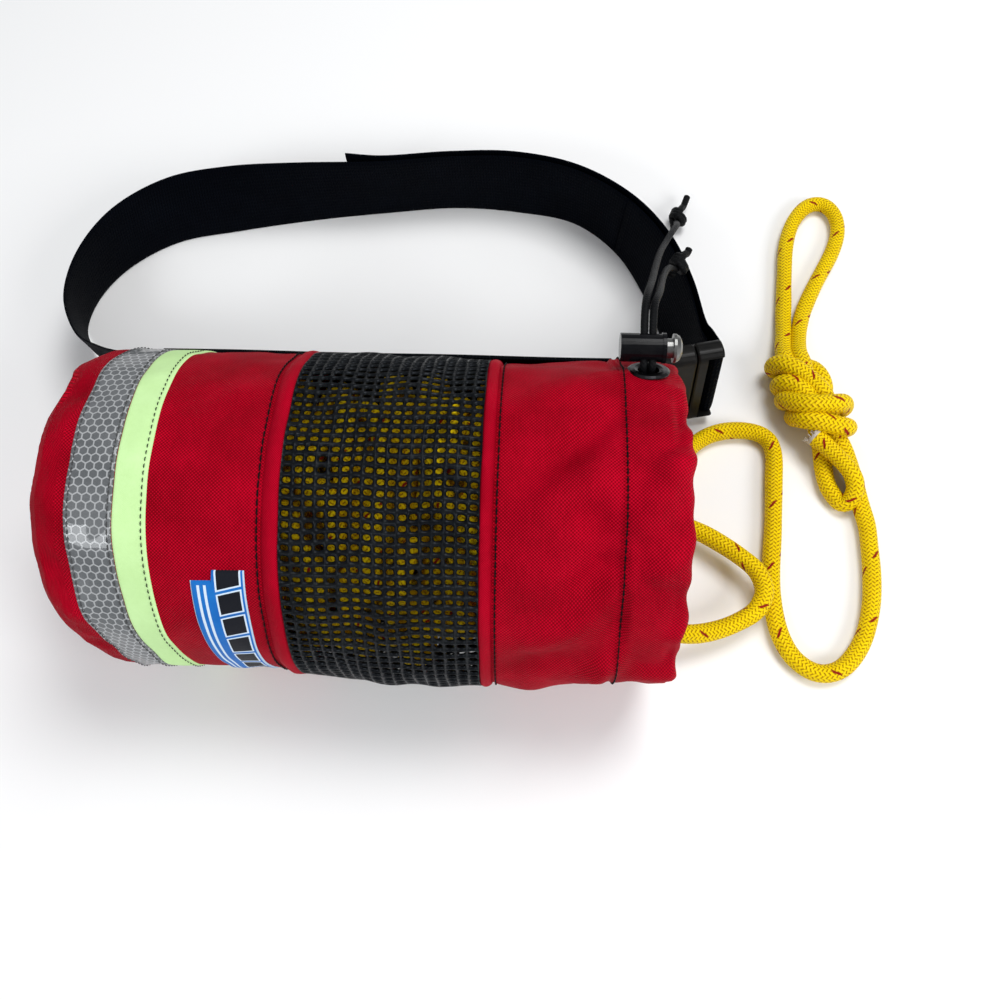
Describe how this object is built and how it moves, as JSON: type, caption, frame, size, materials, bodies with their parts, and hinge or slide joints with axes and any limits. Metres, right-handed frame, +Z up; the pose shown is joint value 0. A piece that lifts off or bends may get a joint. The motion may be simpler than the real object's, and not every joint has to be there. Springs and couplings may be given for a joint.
{
  "type": "throw rope bag",
  "caption": "Soft cylindrical throw bag on a waist belt, packed with floating rope whose hand loop lies out of its drawcord mouth.",
  "frame": {"origin": "on the surface the bag lies on, at the flat underside of its mesh panel", "axes": "+X along the bag's axis from its base to its mouth, +Y towards the waist belt, +Z up from the surface"},
  "size_m": [0.4653, 0.325, 0.1412],
  "materials": {
    "bag_fabric": "coated plain-weave nylon, satin",
    "binding_fabric": "folded fabric binding, satin",
    "mesh": "vinyl-coated open mesh, semi-gloss",
    "silver_tape": "clear-faced reflective tape with a hexagon grid",
    "lime_tape": "fluorescent fabric tape, matt",
    "label": "plain woven patch, satin",
    "webbing": "ribbed nylon webbing, matt",
    "black_plastic": "moulded acetal, satin",
    "grey_plastic": "moulded, glossy",
    "spring_steel": "drawn wire",
    "grommet_metal": "dark nickel plate",
    "drawcord": "braided accessory cord",
    "rope": "sixteen-strand braided floating rope with red tracer",
    "foam": "closed-cell foam, matt"
  },
  "bodies": {
    "bag": {"base_panel": "bag_fabric", "lower_panel": "bag_fabric", "upper_panel": "bag_fabric", "mouth_hem": "bag_fabric", "mesh_binding_lower": "binding_fabric", "mesh_binding_upper": "binding_fabric", "mesh_panel": "mesh", "reflective_tape_silver": "silver_tape", "reflective_tape_lime": "lime_tape", "label_patch": "label", "belt_sleeve": "webbing", "belt_webbing": "webbing", "belt_tail": "webbing", "rope_anchor_loop": "webbing", "buckle_female": "black_plastic", "grommet": "grommet_metal", "grommet_washer": "grommet_metal", "drawcord_ring": "drawcord", "drawcord_tail_a": "drawcord", "drawcord_tail_b": "drawcord", "drawcord_knot_a": "drawcord", "drawcord_knot_b": "drawcord", "rope_pack": "rope", "rope_strand": "rope", "rope_bight": "rope", "rope_knot": "rope", "rope_tail": "rope", "hand_loop": "rope", "base_foam_disc": "foam"},
    "cord_lock": {"cord_lock_barrel": "black_plastic", "cord_lock_spring": "spring_steel"},
    "lock_plunger": {"cord_lock_plunger": "grey_plastic"},
    "male_half": {"buckle_male": "black_plastic", "belt_bar_wrap": "webbing"},
    "prong_up": {"buckle_prong_upper": "black_plastic"},
    "prong_down": {"buckle_prong_lower": "black_plastic"}
  },
  "joints": [
    {"name": "cord_lock_slide", "type": "slide", "parent": "bag", "child": "cord_lock", "axis": [0, 0.9397, 0.342], "range_m": [0, 0.01]},
    {"name": "plunger_press", "type": "slide", "parent": "cord_lock", "child": "lock_plunger", "axis": [-1, 0, 0], "range_m": [0, 0.0026], "stiffness_N_per_m": 600, "deforming": ["cord_lock_spring"]},
    {"name": "buckle_release", "type": "slide", "parent": "bag", "child": "male_half", "axis": [0.9781, 0.2079, 0], "range_m": [0, 0.028]},
    {"name": "prong_flex_upper", "type": "hinge", "parent": "male_half", "child": "prong_up", "pos_m": [0.15296, 0.098, 0.05081], "axis": [-0.2059, 0.9686, -0.1392], "range_deg": [-7, 0], "stiffness_Nm_per_rad": 0.6},
    {"name": "prong_flex_lower", "type": "hinge", "parent": "male_half", "child": "prong_down", "pos_m": [0.15406, 0.09283, 0.01319], "axis": [-0.2059, 0.9686, -0.1392], "range_deg": [0, 7], "stiffness_Nm_per_rad": 0.6}
  ],
  "couplings": [
    {"joint": "prong_flex_lower", "follows": "prong_flex_upper", "ratio": -1}
  ]
}
